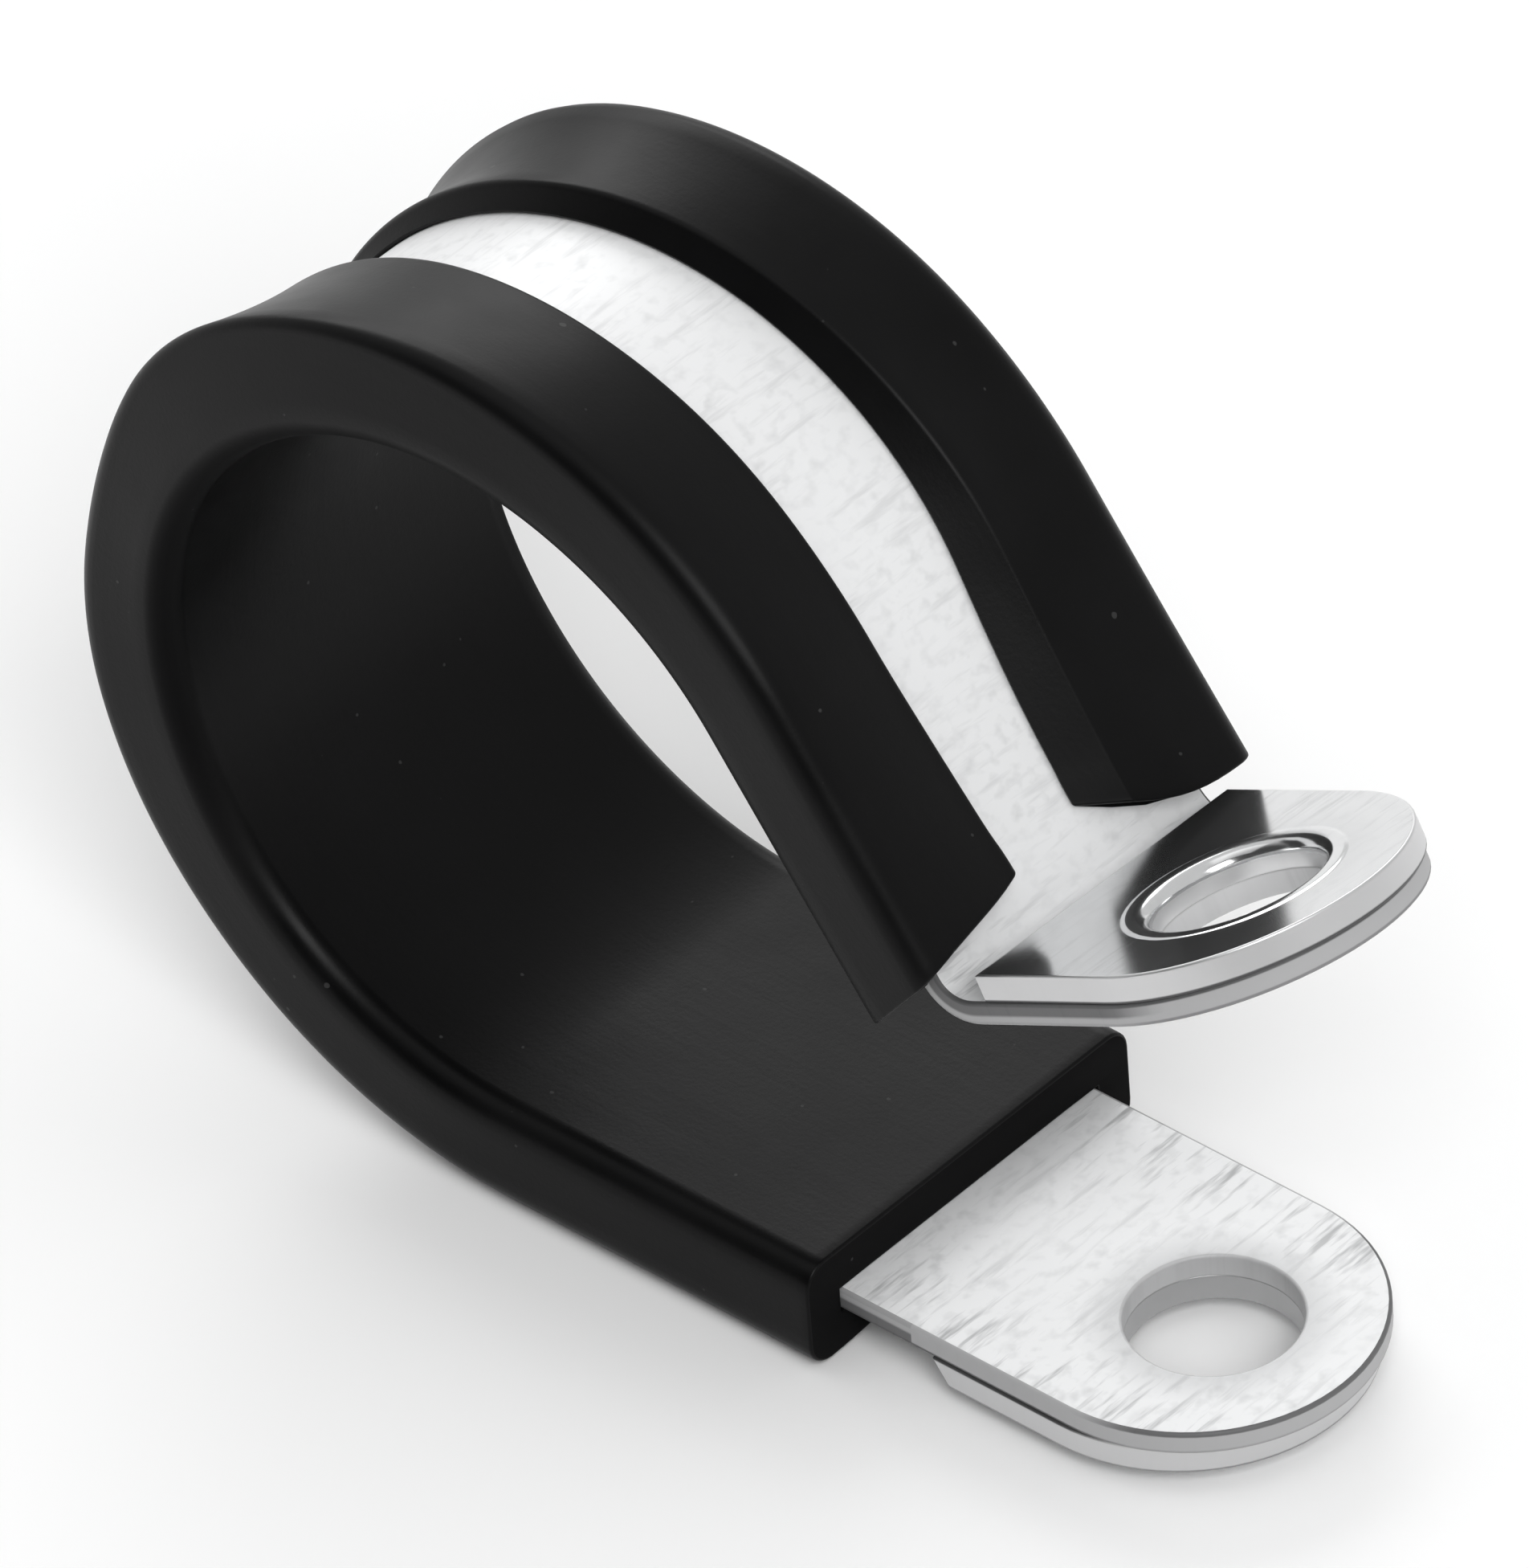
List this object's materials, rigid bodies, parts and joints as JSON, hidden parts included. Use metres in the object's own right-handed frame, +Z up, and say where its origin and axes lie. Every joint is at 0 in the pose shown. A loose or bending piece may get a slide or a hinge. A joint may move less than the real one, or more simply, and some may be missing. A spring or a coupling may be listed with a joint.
{
  "type": "cushioned pipe clamp",
  "caption": "Open rubber-cushioned clamp: a bent steel band with a round loop and drilled, plate-backed lugs that a bolt draws together to hold a pipe, hose or cable.",
  "frame": {"origin": "centre of the loop, on the axis of the pipe it holds, at the middle of the band's width", "axes": "+Y along the pipe, +X towards the lugs, +Z up, with the lower lug level"},
  "size_m": [0.0583, 0.0188, 0.041],
  "materials": {
    "band_steel": "bright zinc-plated strip, fine brushed marks",
    "plate_steel": "bright zinc-plated, nearly polished",
    "rubber": "black extruded rubber, satin"
  },
  "bodies": {
    "root": {"steel_band": "band_steel", "rubber_cushion": "rubber", "upper_plate": "plate_steel", "lower_plate": "plate_steel"}
  },
  "joints": []
}
